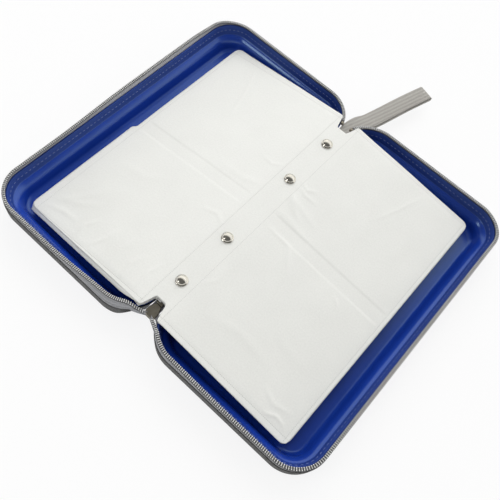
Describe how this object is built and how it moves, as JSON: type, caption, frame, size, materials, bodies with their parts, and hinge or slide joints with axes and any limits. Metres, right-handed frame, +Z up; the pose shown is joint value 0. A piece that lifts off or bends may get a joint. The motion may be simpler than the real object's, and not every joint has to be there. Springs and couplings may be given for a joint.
{
  "type": "cd storage case",
  "caption": "Zip-round disc case with two moulded tray covers lying open, clear pocket sleeves riveted along its spine, and a webbing wrist strap.",
  "frame": {"origin": "centre of the spine band's underside, which is the outside of the case's spine", "axes": "+Z up out of the open case, +Y along the spine towards the wrist strap, +X across the right-hand cover"},
  "size_m": [0.336, 0.368, 0.0325],
  "materials": {
    "blue_plastic": "smooth moulded polypropylene, glossy royal blue",
    "grey_tape": "woven polyester tape, mid grey",
    "dark_tape": "ribbed woven binding, dark grey",
    "chain_plastic": "coiled nylon teeth, light grey",
    "sleeve_white": "clear soft film over white non-woven backing",
    "nickel": "nickel-plated, polished",
    "strap_webbing": "flat woven webbing, light grey"
  },
  "bodies": {
    "spine": {"spine_band": "dark_tape", "sleeve_binding_strip": "grey_tape", "sleeve_margin": "sleeve_white", "rivet_cap_1": "nickel", "rivet_cap_2": "nickel", "rivet_cap_3": "nickel", "rivet_cap_4": "nickel", "rivet_base_1": "nickel", "rivet_base_2": "nickel", "rivet_base_3": "nickel", "rivet_base_4": "nickel", "zip_slider": "nickel", "zip_bottom_stop": "nickel", "wrist_strap": "strap_webbing"},
    "left_cover": {"left_shell": "blue_plastic", "left_edge_binding": "dark_tape", "left_zip_tape": "grey_tape", "left_zip_chain": "chain_plastic", "left_top_stop": "nickel", "left_sleeves": "sleeve_white"},
    "right_cover": {"right_shell": "blue_plastic", "right_edge_binding": "dark_tape", "right_zip_tape": "grey_tape", "right_zip_chain": "chain_plastic", "right_top_stop": "nickel", "right_sleeves": "sleeve_white"},
    "pull_tab": {"pull_tab": "nickel"}
  },
  "joints": [
    {"name": "left_cover_hinge", "type": "hinge", "parent": "spine", "child": "left_cover", "pos_m": [-0.005, 0, 0.0011], "axis": [0, 1, 0], "range_deg": [0, 90], "deforming": ["sleeve_margin"]},
    {"name": "right_cover_hinge", "type": "hinge", "parent": "spine", "child": "right_cover", "pos_m": [0.005, 0, 0.0011], "axis": [0, -1, 0], "range_deg": [0, 90], "deforming": ["sleeve_margin"]},
    {"name": "pull_tab_hinge", "type": "hinge", "parent": "spine", "child": "pull_tab", "pos_m": [0, -0.125, -0.0066], "axis": [1, 0, 0], "range_deg": [-75, 75]}
  ]
}
